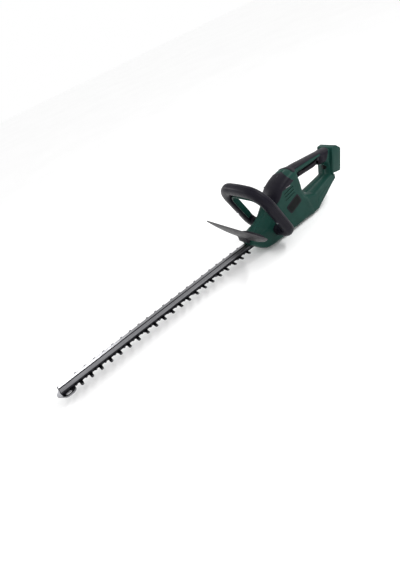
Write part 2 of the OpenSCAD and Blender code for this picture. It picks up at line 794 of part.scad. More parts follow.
module tip_screws() {
    color(dark_steel) for (y = [-7, 7]) translate([658, y, 0]) {
        translate([0, 0, 24]) cylinder(r = 3.6, h = 2);
        translate([0, 0, 26]) cylinder(r = 2, h = 11.8);
    }
}

housing_left();
housing_right();
housing_screws();
hump_cover();
grip_cover();
badge_plate();
hand_guard();
guard_screws();
loop_rear_shell();
loop_front_shell();
loop_screws();
bail_lever();
bail_springs();
bail_switch();
trigger();
trigger_pin();
trigger_spring();
trigger_switch();
battery_rails();
terminal_block();
terminal_blades();
battery_leads();
motor_leads();
motor_can();
motor_end_cap();
motor_magnets();
motor_bearings();
rotor();
motor_fan();
pinion();
gearbox_base();
gearbox_cover();
gearbox_screws();
crank_axle();
crank_gear();
crank_bush();
axle_clip();
upper_blade();
lower_blade();
support_bar();
bar_bolts();
bar_washers();
bar_sleeves();
bar_end_block();
tip_guard();
tip_screws();
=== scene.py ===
"""Looks of a cordless hedge trimmer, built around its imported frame.

The row frame is in metres: +X along the bar to its tip, +Y the user's left, +Z up.
Outlines here are in millimetres in the same frame, and MM turns them into metres.
"""
import math

import bmesh
import bpy
import numpy as np
from mathutils import Matrix, Vector
from mathutils.geometry import delaunay_2d_cdt


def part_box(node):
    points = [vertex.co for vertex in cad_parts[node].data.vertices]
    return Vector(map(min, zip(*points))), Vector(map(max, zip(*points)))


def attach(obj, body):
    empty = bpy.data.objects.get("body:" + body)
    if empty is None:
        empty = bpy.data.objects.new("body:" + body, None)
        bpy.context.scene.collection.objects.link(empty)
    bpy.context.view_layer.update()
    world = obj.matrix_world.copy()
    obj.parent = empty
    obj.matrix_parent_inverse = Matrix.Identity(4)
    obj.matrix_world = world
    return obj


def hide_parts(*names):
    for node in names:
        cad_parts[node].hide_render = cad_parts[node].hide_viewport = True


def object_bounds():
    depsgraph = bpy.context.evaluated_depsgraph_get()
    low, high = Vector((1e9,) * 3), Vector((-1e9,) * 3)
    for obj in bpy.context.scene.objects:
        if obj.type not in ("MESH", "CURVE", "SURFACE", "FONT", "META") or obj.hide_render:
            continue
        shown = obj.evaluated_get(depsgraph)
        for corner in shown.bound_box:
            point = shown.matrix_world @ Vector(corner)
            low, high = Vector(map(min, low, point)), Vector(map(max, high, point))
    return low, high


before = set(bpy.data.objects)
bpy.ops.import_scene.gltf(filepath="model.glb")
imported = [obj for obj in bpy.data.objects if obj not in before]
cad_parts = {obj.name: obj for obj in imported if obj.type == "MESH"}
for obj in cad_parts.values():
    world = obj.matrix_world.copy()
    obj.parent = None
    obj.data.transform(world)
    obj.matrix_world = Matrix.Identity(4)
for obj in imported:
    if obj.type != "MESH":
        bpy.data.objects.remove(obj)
cad_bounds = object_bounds()

MM = 0.001
GAP = 0.2            # half the parting line between two moulded halves
SHELL = 2.2          # wall of the moulded shells

BODY_W = 30.0        # half widths of the housing, the rear handle and the battery dock
GRIP_W = 17.0
PILLAR_W = 19.0
LOW_W = 24.0         # half width of the bar under the hand hole, at its rear end
DOCK_W = 25.0
SLOT_W = 9.3         # half the trigger's slot, to the outside of its lips
EDGE_R = 15.0        # how far the housing's sides take to round over
LIFT = 0.9           # how far the soft covers stand proud

LOOP_FOOT = (15.6, 39.5)
LOOP_TILT = math.radians(23.4)
LOOP_HALF_W = 72.5
LOOP_TOP = 153.0
LOOP_TOP_R = 45      # bend radii at the top of the handle and above its feet
LOOP_LOW_R = 22
TUBE_T = 15.0        # half the tube's thickness in the handle's plane
TUBE_D = 14.0        # half its depth, front to back
LEVER_GAP = 0.8      # between the squeeze lever and the tube's sides
LEVER_FOOT = 34      # where the lever's legs begin, along the handle's plane
LEVER_T = 3          # half the lever's thickness

TOOTH_PITCH = 25.0
TOOTH_COUNT = 21
FIRST_TOOTH = 620.0
TOOTH_LEAD = 11.0
BLADE_HALF_W = 11.8
BAR_HALF_W = 13.0
SPOT_SIDES = 16      # corners of the round painted highlights on the teeth's ends
GUARD_TOP = (127.0, 101.0)
GUARD_LEAN = math.radians(25)
GUARD_DROP = 40.0    # height of the guard's face in the middle and at its ends
GUARD_END_DROP = 5
GUARD_INSET = 3      # how far the drawn wing stops short of the designed one


# ---------------------------------------------------------------- materials
def new_material(name, metallic=0.0):
    mat = bpy.data.materials.new(name)
    mat.use_nodes = True
    nodes = mat.node_tree.nodes
    nodes.clear()
    out = nodes.new("ShaderNodeOutputMaterial")
    bsdf = nodes.new("ShaderNodeBsdfPrincipled")
    mat.node_tree.links.new(bsdf.outputs[0], out.inputs[0])
    bsdf.inputs["Metallic"].default_value = metallic
    return mat, bsdf


def node(mat, kind, **values):
    made = mat.node_tree.nodes.new(kind)
    for key, value in values.items():
        if key in made.inputs:
            made.inputs[key].default_value = value
        else:
            setattr(made, key, value)
    return made


def link(mat, source, target):
    mat.node_tree.links.new(source, target)


def noise(mat, scale, detail=3.0, stretch=(1, 1, 1), roughness=0.5):
    """Noise in object space; scale is in cycles per metre."""
    coords = node(mat, "ShaderNodeTexCoord")
    mapping = node(mat, "ShaderNodeMapping")
    mapping.inputs["Scale"].default_value = stretch
    texture = node(mat, "ShaderNodeTexNoise", Scale=scale, Detail=detail, Roughness=roughness)
    link(mat, coords.outputs["Object"], mapping.inputs["Vector"])
    link(mat, mapping.outputs["Vector"], texture.inputs["Vector"])
    return texture.outputs["Fac"]


def ramp(mat, value, stops):
    made = node(mat, "ShaderNodeValToRGB")
    made.color_ramp.elements[0].position = stops[0][0]
    made.color_ramp.elements[0].color = (*stops[0][1], 1)
    made.color_ramp.elements[1].position = stops[-1][0]
    made.color_ramp.elements[1].color = (*stops[-1][1], 1)
    for position, colour in stops[1:-1]:
        made.color_ramp.elements.new(position).color = (*colour, 1)
    link(mat, value, made.inputs["Fac"])
    return made.outputs["Color"]


def bump(mat, bsdf, heights):
    """Adds up (height socket, distance in metres) pairs as bumps."""
    normal = None
    for height, distance in heights:
        made = node(mat, "ShaderNodeBump", Distance=distance, Strength=1.0)
        link(mat, height, made.inputs["Height"])
        if normal:
            link(mat, normal, made.inputs["Normal"])
        normal = made.outputs["Normal"]
    link(mat, normal, bsdf.inputs["Normal"])


def scaled(colour, k):
    return tuple(min(1.0, c * k) for c in colour)


def worn_colour(mat, bsdf, colour, worn, spread=0.12, wear=0.5):
    """Base colour with slight patches, and a lighter worn tone along convex edges."""
    tones = [(0.3, scaled(colour, 1 - spread)), (0.7, scaled(colour, 1 + spread))]
    patches = ramp(mat, noise(mat, 38, 4), tones)
    geometry = node(mat, "ShaderNodeNewGeometry")
    edges = ramp(mat, geometry.outputs["Pointiness"], [(0.53, (0, 0, 0)), (0.62, (wear, wear, wear))])
    mix = node(mat, "ShaderNodeMix", data_type="RGBA")
    link(mat, edges, mix.inputs["Factor"])
    link(mat, patches, mix.inputs["A"])
    mix.inputs["B"].default_value = (*worn, 1)
    link(mat, mix.outputs["Result"], bsdf.inputs["Base Color"])


def moulded(name, colour, rough=0.42, grain=1400, depth=0.00003, worn=1.7):
    """Moulded plastic: spark-eroded grain, faint patches and edges rubbed lighter."""
    mat, bsdf = new_material(name)
    bsdf.inputs["Specular IOR Level"].default_value = 0.1
    worn_colour(mat, bsdf, colour, scaled(colour, worn))
    fine = noise(mat, grain, 2)
    link(mat, ramp(mat, noise(mat, 60, 5), [(0.3, (rough - 0.06,) * 3), (0.75, (rough + 0.08,) * 3)]),
         bsdf.inputs["Roughness"])
    bump(mat, bsdf, [(noise(mat, 90, 3), 0.00006), (fine, depth)])
    return mat


def soft_grip(name, colour, rough=0.5):
    """Soft overmoulded elastomer: duller, with a coarser leathery grain."""
    mat, bsdf = new_material(name)
    worn_colour(mat, bsdf, colour, scaled(colour, 2.2), 0.18, 0.35)
    bsdf.inputs["Specular IOR Level"].default_value = 0.12
    coords = node(mat, "ShaderNodeTexCoord")
    cells = node(mat, "ShaderNodeTexVoronoi", Scale=900.0)
    link(mat, coords.outputs["Object"], cells.inputs["Vector"])
    link(mat, ramp(mat, noise(mat, 45, 4), [(0.3, (rough - 0.08,) * 3), (0.7, (rough + 0.08,) * 3)]),
         bsdf.inputs["Roughness"])
    bump(mat, bsdf, [(cells.outputs["Distance"], 0.00005), (noise(mat, 2200, 2), 0.00002)])
    return mat


def metal(name, colour, rough=0.3, stretch=(1, 1, 1), scale=900, depth=0.00001, stain=0.15):
    """Metal with its grain along the stretched axis, smudges and slightly brighter rubbed edges."""
    mat, bsdf = new_material(name, 1.0)
    worn_colour(mat, bsdf, colour, scaled(colour, 1.35), stain, 0.6)
    grain = noise(mat, scale, 3, stretch)
    smudge = noise(mat, 30, 5)
    mixed = node(mat, "ShaderNodeMath", operation="MULTIPLY")
    link(mat, grain, mixed.inputs[0])
    link(mat, smudge, mixed.inputs[1])
    link(mat, ramp(mat, mixed.outputs[0], [(0.1, (rough - 0.1,) * 3), (0.5, (rough + 0.15,) * 3)]),
         bsdf.inputs["Roughness"])
    bump(mat, bsdf, [(grain, depth)])
    return mat


def make_materials():
    along_bar = (0.03, 1, 1)
    return {
        "green": moulded("green_plastic", (0.007, 0.038, 0.030), 0.40),
        # A lighter copy of the green plastic, used only for a painted highlight line on the grip
        "green_painted_highlight": moulded("green_highlight_line", (0.03, 0.10, 0.085), 0.35),
        "black": soft_grip("soft_black", (0.006, 0.0052, 0.010), 0.40),
        "black_hard": moulded("black_plastic", (0.0065, 0.006, 0.0095), 0.36, 1800),
        # Near-black: painted shade in the trigger slot's roof and the pillar's grooves, and the badge inlay's
        # own colour
        "shade_and_inlay_black": moulded("painted_shade_and_inlay_black", (0.003, 0.004, 0.004), 0.6),
        "grey": moulded("guard_grey", (0.055, 0.053, 0.056), 0.36, 1600, 0.00002, 1.5),
        "slit": moulded("slit_grey", (0.16, 0.16, 0.17), 0.35),
        "bar": metal("bar_aluminium", (0.20, 0.20, 0.21), 0.32, along_bar, 2500, 0.000015, 0.08),
        # Darker copy of the bar's metal: painted shade on its sides and in its groove
        "bar_painted_shade": metal("bar_painted_shade_metal", (0.03, 0.03, 0.034), 0.45, along_bar, 2500, 0.000015, 0.08),
        "blade": metal("blade_dark", (0.012, 0.012, 0.015), 0.5, (1, 1, 1), 1200, 0.00002),
        # Lighter ground steel, which on the teeth's tips also stands in for painted highlights
        "ground_and_highlight": metal("blade_ground_and_highlight", (0.09, 0.09, 0.094), 0.3, (1, 0.1, 1), 2600, 0.00001),
        "tip": metal("tip_guard_metal", (0.17, 0.17, 0.18), 0.28, (1, 1, 1), 1500),
        "steel": metal("bright_steel", (0.55, 0.55, 0.58), 0.28),
        "dark_steel": metal("black_steel", (0.07, 0.07, 0.08), 0.4),
        "cast": metal("cast_aluminium", (0.40, 0.40, 0.42), 0.5, (1, 1, 1), 500, 0.00008),
        "bronze": metal("bronze", (0.42, 0.27, 0.10), 0.35),
        "brass": metal("contact_brass", (0.62, 0.47, 0.18), 0.28),
        "winding": metal("winding", (0.35, 0.14, 0.05), 0.4, (1, 1, 0.1), 1400, 0.0001),
        "red": moulded("lead_red", (0.35, 0.02, 0.02), 0.4),
    }


# ---------------------------------------------------------------- outlines
def rounded(corners, detail=5):
    """Closed outline from (x, z, radius) corners, each corner turned into an arc-like curve."""
    points = [Vector(c[:2]) for c in corners]
    out = []
    for i, corner in enumerate(points):
        before = points[i - 1] - corner
        after = points[(i + 1) % len(points)] - corner
        half = before.angle(after) / 2
        reach = min(corners[i][2] / max(math.tan(half), 1e-6), 0.48 * before.length, 0.48 * after.length)
        start = corner + before.normalized() * reach
        end = corner + after.normalized() * reach
        for k in range(detail + 1):
            t = k / detail
            out.append(start * (1 - t) ** 2 + corner * 2 * t * (1 - t) + end * t * t)
    return np.array([tuple(p) for p in out])


def resampled(loop, step):
    """Same closed outline with points no further apart than step."""
    out = []
    for a, b in zip(loop, np.roll(loop, -1, 0)):
        length = np.linalg.norm(b - a)
        if length < 1e-4:
            continue
        count = max(1, math.ceil(length / step))
        out.extend(a + (b - a) * k / count for k in range(count))
    return np.array(out)


def grown(loop, distance):
    """Outline moved outwards, for a loop that runs anticlockwise."""
    along = np.roll(loop, -1, 0) - np.roll(loop, 1, 0)
    along /= np.linalg.norm(along, axis=1)[:, None]
    return loop + distance * np.stack([along[:, 1], -along[:, 0]], 1)


def stretch_of(loop, start, end):
    """The outline's points from the one nearest start to the one nearest end."""
    i = int(np.argmin(np.linalg.norm(loop - np.array(start), axis=1)))
    j = int(np.argmin(np.linalg.norm(loop - np.array(end), axis=1)))
    return loop[i:j + 1] if i <= j else np.concatenate([loop[i:], loop[:j + 1]])


def is_inside(points, loops):
    inside = np.zeros(len(points), bool)
    for loop in loops:
        for a, b in zip(loop, np.roll(loop, -1, 0)):
            if a[1] == b[1]:
                continue
            crosses = (a[1] > points[:, 1]) != (b[1] > points[:, 1])
            inside ^= crosses & (points[:, 0] < (b[0] - a[0]) * (points[:, 1] - a[1]) / (b[1] - a[1]) + a[0])
    return inside


def distance_to(points, loops):
    """Distance from each point to the nearest stretch of the outlines."""
    best = np.full(len(points), 1e9)
    for loop in loops:
        for a, b in zip(loop, np.roll(loop, -1, 0)):
            ab = b - a
            t = np.clip(((points - a) @ ab) / max(ab @ ab, 1e-9), 0, 1)
            best = np.minimum(best, np.linalg.norm(points - a - t[:, None] * ab, axis=1))
    return best


def filled(loops, rings, spacing):
    """Points and triangles that fill the first outline around the others, denser along the edges."""
    border = [resampled(loop, 2.2) for loop in loops]
    sets = [np.concatenate(border)]
    for ring in rings:
        for index, loop in enumerate(border):
            moved = grown(loop, -ring if index == 0 else ring)
            keep = is_inside(moved, border) & (distance_to(moved, border) > 0.9 * ring)
            moved = moved[keep]
            if len(moved):
                sets.append(moved)
    low = border[0].min(0)
    high = border[0].max(0)
    grid = np.array([(x + (spacing / 2 if row % 2 else 0), z)
                     for row, z in enumerate(np.arange(low[1], high[1], spacing * 0.87))
                     for x in np.arange(low[0], high[0], spacing)])
    grid = grid[is_inside(grid, border)]
    sets.append(grid[distance_to(grid, border) > rings[-1] + 0.5 * spacing])
    points = np.concatenate(sets)
    edges = []
    first = 0
    for loop in border:
        count = len(loop)
        edges += [(first + i, first + (i + 1) % count) for i in range(count)]
        first += count
    verts, _, faces, *_ = delaunay_2d_cdt([Vector(p) for p in points], edges, [], 0, 1e-5)
    verts = np.array([tuple(v) for v in verts])
    faces = [f for f in faces if len(f) == 3]
    middles = np.array([verts[list(f)].mean(0) for f in faces])
    keep = is_inside(middles, border)
    return verts, [f for f, k in zip(faces, keep) if k], border


# ---------------------------------------------------------------- objects
def add_object(name, mesh, body, material, replaces=None, smooth=35):
    obj = bpy.data.objects.new(name, mesh)
    bpy.context.scene.collection.objects.link(obj)
    for mat in material if isinstance(material, (list, tuple)) else [material]:
        mesh.materials.append(mat)
    for polygon in mesh.polygons:
        polygon.use_smooth = True
    mesh.set_sharp_from_angle(angle=math.radians(smooth))
    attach(obj, body)
    if replaces:
        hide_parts(replaces)
    return obj


def mesh_from(name, verts, faces):
    """Mesh from millimetre points, with its normals facing outwards."""
    mesh = bpy.data.meshes.new(name)
    mesh.from_pydata([tuple(MM * c for c in v) for v in verts], [], faces)
    work = bmesh.new()
    work.from_mesh(mesh)
    bmesh.ops.recalc_face_normals(work, faces=work.faces)
    work.to_mesh(mesh)
    work.free()
    return mesh


def weld(mesh):
    """Joins points that lie on each other and turns the normals outwards again."""
    work = bmesh.new()
    work.from_mesh(mesh)
    bmesh.ops.remove_doubles(work, verts=work.verts, dist=0.00002)
    bmesh.ops.recalc_face_normals(work, faces=work.faces)
    work.to_mesh(mesh)
    work.free()


def bevelled(obj, width, segments, angle):
    """Rounds an object's sharp edges with a modifier."""
    modifier = obj.modifiers.new("edges", "BEVEL")
    modifier.width = width * MM
    modifier.segments = segments
    modifier.limit_method = "ANGLE"
    modifier.angle_limit = math.radians(angle)
    modifier.harden_normals = True


def thickened(obj, thickness):
    """Gives a skin its wall, inwards from its surface."""
    modifier = obj.modifiers.new("wall", "SOLIDIFY")
    modifier.thickness = thickness * MM
    modifier.offset = -1
    modifier.use_even_offset = False


def slab(name, outline, y0, y1, bevel):
    """Side-view outline made solid between two y values, with its edges bevelled."""
    count = len(outline)
    verts = [(x, y0, z) for x, z in outline] + [(x, y1, z) for x, z in outline]
    faces = [tuple(range(count)), tuple(range(2 * count - 1, count - 1, -1))]
    faces += [(i, (i + 1) % count, count + (i + 1) % count, count + i) for i in range(count)]
    mesh = mesh_from(name, verts, faces)
    if bevel:
        bevel_rims(mesh, bevel)
    return mesh


def bevel_rims(mesh, width, material=-1, pick=lambda e: True, segments=3, angle=40):
    """Bevels the sharp edges of a mesh in place."""
    work = bmesh.new()
    work.from_mesh(mesh)
    work.normal_update()
    sharp = [e for e in work.edges if len(e.link_faces) == 2
             and e.calc_face_angle(0) > math.radians(angle) and pick(e)]
    bmesh.ops.bevel(work, geom=sharp, offset=width * MM, segments=segments, profile=0.5,
                    affect="EDGES", clamp_overlap=True, material=material)
    work.to_mesh(mesh)
    work.free()


def swept(name, path, normals, section):
    """Skin along a path. section(i) gives (outward, forward) offsets of its points at path point i."""
    rows = []
    for i, point in enumerate(path):
        out, forward = normals[i]
        rows.append([point + out * u + forward * v for u, v in section(i)])
    sides = len(rows[0])
    verts = [p for row in rows for p in row]
    faces = []
    for a in range(0, (len(rows) - 1) * sides, sides):
        b = a + sides
        faces += [(a + j, a + (j + 1) % sides, b + (j + 1) % sides, b + j) for j in range(sides)]
    faces += [tuple(range(sides)), tuple(range(len(verts) - 1, len(verts) - sides - 1, -1))]
    return mesh_from(name, verts, faces)


# ---------------------------------------------------------------- housing
BODY = rounded([
    (-128, 3, 20), (-118, 0, 12), (40, 0, 60), (59, 3.5, 40), (76, 12.5, 40), (90, 26.5, 30), (104, 41.5, 10),
    (106, 46, 4), (106, 57, 5), (83, 60.5, 20), (58, 66, 30), (33, 79, 40), (12, 101, 60), (-6, 126, 60),
    (-16, 136, 60), (-34, 145.5, 60), (-54, 152, 60), (-70, 155, 60), (-84, 155.5, 40), (-112, 153, 80),
    (-144, 149, 80), (-185, 144, 80), (-228, 138.8, 20), (-240, 139, 6), (-222, 67, 5), (-234, 66, 4),
    (-234, 50, 8), (-213, 39.5, 40), (-188, 26, 40), (-163, 14.5, 30), (-144, 4, 14)])
HAND_HOLE = rounded([
    (-101, 92, 20), (-102, 132, 9), (-150, 130.5, 60), (-190.6, 130.5, 0.6), (-191, 110, 3),
    (-204, 108.5, 10),
    (-218, 98, 14), (-215, 70, 8), (-138, 57, 8), (-107, 70, 14)])
DOCK = rounded([
    (-218, 64, 2), (-224, 71, 3), (-252, 65, 4), (-265.5, 124, 5), (-249, 139.5, 6), (-233, 139.5, 3)], 3)
# Distances from the outline at which the skin gets extra points, to round its edge smoothly
EDGE_RINGS = (0.25, 0.8, 1.8, 3.4, 5.6, 8.5)


def smoothstep(t):
    t = np.clip(t, 0, 1)
    return t * t * (3 - 2 * t)


def half_width(points):
    """Half the housing's width before its edges round over."""
    x = points[:, 0]
    z = points[:, 1]
    body_edge = -127 + (z - 10) * 0.27
    width = GRIP_W + (BODY_W - GRIP_W) * smoothstep((x - body_edge + 10) / 20)
    width += (PILLAR_W - GRIP_W) * smoothstep((-x - 205) / 12)
    # Under the hand hole the sides carry on to the rear, drawing in slowly
    low_bar = LOW_W + (BODY_W - 1 - LOW_W) * smoothstep((x + 225) / 100)
    under_hole = smoothstep((85 - 0.18 * (x + 138) - z) / 18)
    width = np.maximum(width, low_bar * under_hole + width * (1 - under_hole))
    # The nose draws in towards the bar
    return width - 3 * smoothstep((x - 55) / 50)


def crowned(distance, width, edge_r, power=2.3):
    """Half width of a crowned shell at a distance inside its outline."""
    t = 1 - np.clip(distance / edge_r, 0, 1)
    return width * (1 - t ** power) ** (1 / power)


def housing_surface(points, lift=0.0):
    """Half width of the housing's outer skin at points of its side view."""
    x = points[:, 0]
    z = points[:, 1]
    loops = (BODY, HAND_HOLE)
    distance = distance_to(points, loops)
    distance = np.where(is_inside(points, loops), distance, -distance) + lift
    edge_r = EDGE_R - 4 * smoothstep((-x - 90) / 20)
    edge_r -= 4 * smoothstep((-x - 110) / 20) * smoothstep((80 - z) / 15)
    edge_r -= 4 * smoothstep((x - 45) / 20)
    surface = crowned(distance, half_width(points) + lift, edge_r)
    # The lips on both sides of the trigger's slot stay apart
    slot = (np.abs(x + 149) < 43.5) & (z > 110) & (z < 142)
    return np.where(slot, np.maximum(surface, SLOT_W + lift), surface)


def vent(index):
    """Outline of one of the motor's vent slots."""
    middle = Vector((-47.5, 116 - 9 * index))
    turn = Matrix.Rotation(math.radians(-9), 2)
    corners = [(-18, -1.2), (18, -1.2), (18, 1.2), (-18, 1.2)]
    return rounded([(*(middle + turn @ Vector(c)), 1.1) for c in corners], 3)


def housing_half(side):
    """One moulded half of the housing, with vent slots cut through it."""
    verts, faces, _ = filled([BODY, HAND_HOLE] + [vent(i) for i in range(3)], EDGE_RINGS, 4.0)
    width = np.maximum(housing_surface(verts), GAP)
    name = "shell_left" if side > 0 else "shell_right"
    mesh = mesh_from(name, [(x, side * y, z) for (x, z), y in zip(verts, width)], faces)
    if sum(p.normal.y * p.area for p in mesh.polygons) * side < 0:
        mesh.flip_normals()
    replaces = "housing_left" if side > 0 else "housing_right"
    thickened(add_object(name, mesh, "frame", MATS["green"], replaces), SHELL)


def patch(name, region, material, lift=LIFT, sink=1.5, replaces=None, sides=(1, -1),
          spacing=4.0):
    """A panel that lies on the housing's surface, with its border sunk into it."""
    verts, faces, border = filled([region], (0.15, 0.5, 1.4, 3.0), spacing)
    distance = distance_to(verts, border)
    proud = housing_surface(verts, lift)
    low = housing_surface(verts, 0) - sink
    blend = np.sqrt(1 - (1 - np.clip(distance / 0.8, 0, 1)) ** 2)
    width = np.maximum(low + (proud - low) * blend, 0)
    points = []
    triangles = []
    for side in sides:
        first = len(points)
        points += [(x, side * y, z) for (x, z), y in zip(verts, width)]
        triangles += [tuple(first + i for i in (f if side > 0 else f[::-1])) for f in faces]
    mesh = mesh_from(name, points, triangles)
    weld(mesh)
    outward = sum(p.normal.y * p.area * (1 if p.center.y > 0 else -1) for p in mesh.polygons)
    if outward < 0:
        mesh.flip_normals()
    return add_object(name, mesh, "frame", material, replaces)


def hump_cover():
    top = grown(BODY, LIFT)
    lower = [(-59, 152), (-57, 148), (-62, 141), (-72, 131), (-60, 128.5), (-48, 125), (-38, 124), (-26, 124),
             (-17, 113), (-8, 106.5), (2, 102.5)]
    region = np.concatenate([stretch_of(top, (11, 103.5), (-62, 154)), np.array(lower)])
    patch("hump_soft_cover", region, MATS["black"], replaces="hump_cover")


def grip_cover():
    top = grown(BODY, LIFT)
    web = grown(HAND_HOLE, -LIFT)
    rear = [(-223, 134), (-219, 127), (-213.8, 118.5), (-209, 112)]
    under = [(-176, 130.6), (-173, 132), (-178, 133.6), (-190, 136.2), (-196.5, 137.6), (-195, 139.8),
             (-160, 143.4), (-120, 146), (-96, 147), (-80, 148.5), (-77, 152)]
    behind_trigger = stretch_of(web, (-190.6, 130.5), (-206, 107.5))[::-1]
    region = np.concatenate([stretch_of(top, (-78, 156), (-232, 139)), rear, behind_trigger, under])
    patch("grip_soft_cover", region, MATS["black"], replaces="grip_cover")
    roof = rounded([(-197, 129, 1), (-191, 129, 1), (-191, 137.6, 1), (-106, 147.6, 1), (-104, 150, 1),
                    (-197, 141, 1)], 2)
    # A near-black wall across the roof of the trigger's slot: painted shade inside the slot
    add_object("grip_inner_wall", slab("grip_inner_wall", roof, -9.2, 9.2, 0.4), "frame", MATS["shade_and_inlay_black"])


def side_panels():
    """Thin trim on the housing's sides, a lighter green line painted along the grip as a highlight, and the
    blank badge plate on the left one.
    """
    lip = rounded([(-86, 134, 2), (-104, 132.4, 3), (-150, 131, 30), (-174, 131, 1), (-172, 132.6, 2),
                   (-150, 134.4, 20), (-113, 136, 20), (-88, 138.4, 2)], 3)
    patch("grip_side_lip", lip, MATS["black_hard"], 0.5, 0.8)
    # Lighter green line under the grip's green panel: a painted highlight on its edge
    line = rounded([(-88, 139.2, 1), (-113, 136.9, 20), (-152, 135.2, 9), (-152, 136.6, 9), (-113, 138.4, 20),
                    (-88, 140.7, 1)], 3)
    patch("grip_side_highlight", line, MATS["green_painted_highlight"], 0.9, 0.4, spacing=3)
    slit = rounded([(-39, 127.6, 1), (-56, 126.8, 1), (-56, 124.6, 1), (-39, 125.6, 1)], 2)
    patch("cover_slit", slit, MATS["slit"], 1.5, 0.5, spacing=3)
    badge = badge_outline(27, 14.5, 6)
    patch("badge_frame", badge, MATS["black_hard"], 0.6, 0.8, "badge_plate", (1,))
    inlay = badge_outline(23.5, 11.2, 4.5)
    patch("badge_inlay", inlay, MATS["shade_and_inlay_black"], 0.8, 0.2, None, (1,))


def badge_outline(half_l, half_h, radius):
    turn = Matrix.Rotation(math.radians(-18), 2)
    corners = [(-half_l + 2, -half_h), (half_l - 4, -half_h), (half_l, half_h), (-half_l + 4, half_h)]
    return rounded([(*(Vector((-56, 72)) + turn @ Vector(c)), radius) for c in corners], 4)


def front_panels():
    """Low raised panels on the shoulders, along the belly and under the hand hole."""
    shoulder = rounded([(62, 33, 4), (86, 50, 5), (80, 57.5, 4), (50, 63, 6), (44, 50, 6)], 4)
    patch("shoulder_panel", shoulder, MATS["green"], 0.7, 0.6)
    belt = rounded([(-118, 20, 4), (-50, 9, 30), (0, 9, 4), (0, 12, 4), (-50, 12.5, 30), (-117, 24, 4)], 4)
    patch("belly_line", belt, MATS["green"], 0.6, 0.6)
    skirt = rounded([(-140, 14, 4), (-205, 48, 5), (-219, 54, 3), (-224, 59, 3), (-150, 44, 20),
                     (-138, 36, 6)], 4)
    patch("lower_bar_panel", skirt, MATS["green"], 0.6, 0.6)


# ---------------------------------------------------------------- battery dock
def dock():
    """The battery dock's shell and the grooves in the pillar before it."""
    shell = slab("dock_shell", DOCK, -DOCK_W, DOCK_W, 0)
    cut_dock_recess(shell)
    bevel_rims(shell, 1.6)
    add_object("dock_shell", shell, "frame", [MATS["green"]], "housing_right")
    for side in (1, -1):
        # The pillar's grooves are near-black: painted shade in them
        groove = rounded([(-226.5, 137, 0.5), (-213.5, 84, 0.5), (-216.5, 83, 0.5), (-229.5, 136, 0.5)], 2)
        patch("pillar_groove_" + ("left" if side > 0 else "right"), groove, MATS["shade_and_inlay_black"],
              0.2, 0.6, None, (side,))


def cut_dock_recess(mesh):
    """Opens the dock to the back and the bottom, where the battery slides in."""
    tool = slab("dock_recess_tool", np.array([(-241, 50), (-255, 119), (-285, 119), (-285, 50)], float),
                -DOCK_W + 6, DOCK_W - 6, 0)
    base = bpy.data.objects.new("dock_work", mesh)
    cutter = bpy.data.objects.new("dock_cutter", tool)
    for obj in (base, cutter):
        bpy.context.scene.collection.objects.link(obj)
    modifier = base.modifiers.new("cut", "BOOLEAN")
    modifier.operation = "DIFFERENCE"
    modifier.solver = "EXACT"
    modifier.object = cutter
    depsgraph = bpy.context.evaluated_depsgraph_get()
    result = bpy.data.meshes.new_from_object(base.evaluated_get(depsgraph))
    work = bmesh.new()
    work.from_mesh(result)
    work.to_mesh(mesh)
    work.free()
    for obj in (base, cutter):
        bpy.data.objects.remove(obj)


# ---------------------------------------------------------------- front handle
def loop_point(side, up, out=0.0):
    """Row-frame point from the front handle's own plane."""
    along = Vector((math.sin(LOOP_TILT), 0, math.cos(LOOP_TILT)))
    forward = Vector((math.cos(LOOP_TILT), 0, -math.sin(LOOP_TILT)))
    return Vector((LOOP_FOOT[0], side, LOOP_FOOT[1])) + along * up + forward * out


def plane_vector(side, up):
    return loop_point(side, up) - loop_point(0, 0)


def arc_points(cx, cy, r, a0, a1, count):
    return [(cx + r * math.cos(math.radians(a0 + (a1 - a0) * k / count)),
             cy + r * math.sin(math.radians(a0 + (a1 - a0) * k / count))) for k in range(count + 1)]


def handle_path(half_w, top, low_r, top_r, foot_y, foot_s):
    """Middle line of the front handle in its plane, from the right foot over the top to the left foot."""
    left = [(foot_y, foot_s)] + arc_points(half_w - low_r, foot_s + low_r, low_r, -90, 0, 9)
    left += [(half_w, foot_s + low_r + (top - top_r - foot_s - low_r) * k / 6) for k in range(1, 6)]
    left += arc_points(half_w - top_r, top - top_r, top_r, 0, 90, 14)
    left += [((half_w - top_r) * (1 - k / 4), top + 1.2 * math.sin(math.pi * k / 8)) for k in range(1, 5)]
    right = [(-y, s) for y, s in left[:-1]]
    return right + left[::-1]


def path_frames(path):
    """Outward and forward unit vectors along a path in the handle's plane."""
    frames = []
    forward = Vector((math.cos(LOOP_TILT), 0, -math.sin(LOOP_TILT)))
    for i in range(len(path)):
        a = path[max(i - 1, 0)]
        b = path[min(i + 1, len(path) - 1)]
        along = Vector((b[0] - a[0], b[1] - a[1])).normalized()
        frames.append((plane_vector(-along.y, along.x), forward))
    return frames


def superellipse(half_a, half_b, power, start, end, count):
    """Points of a superellipse from one angle to another."""
    out = []
    for k in range(count + 1):
        a = math.radians(start + (end - start) * k / count)
        c = math.cos(a)
        s = math.sin(a)
        out.append((half_a * math.copysign(abs(c) ** (2 / power), c),
                    half_b * math.copysign(abs(s) ** (2 / power), s)))
    return out


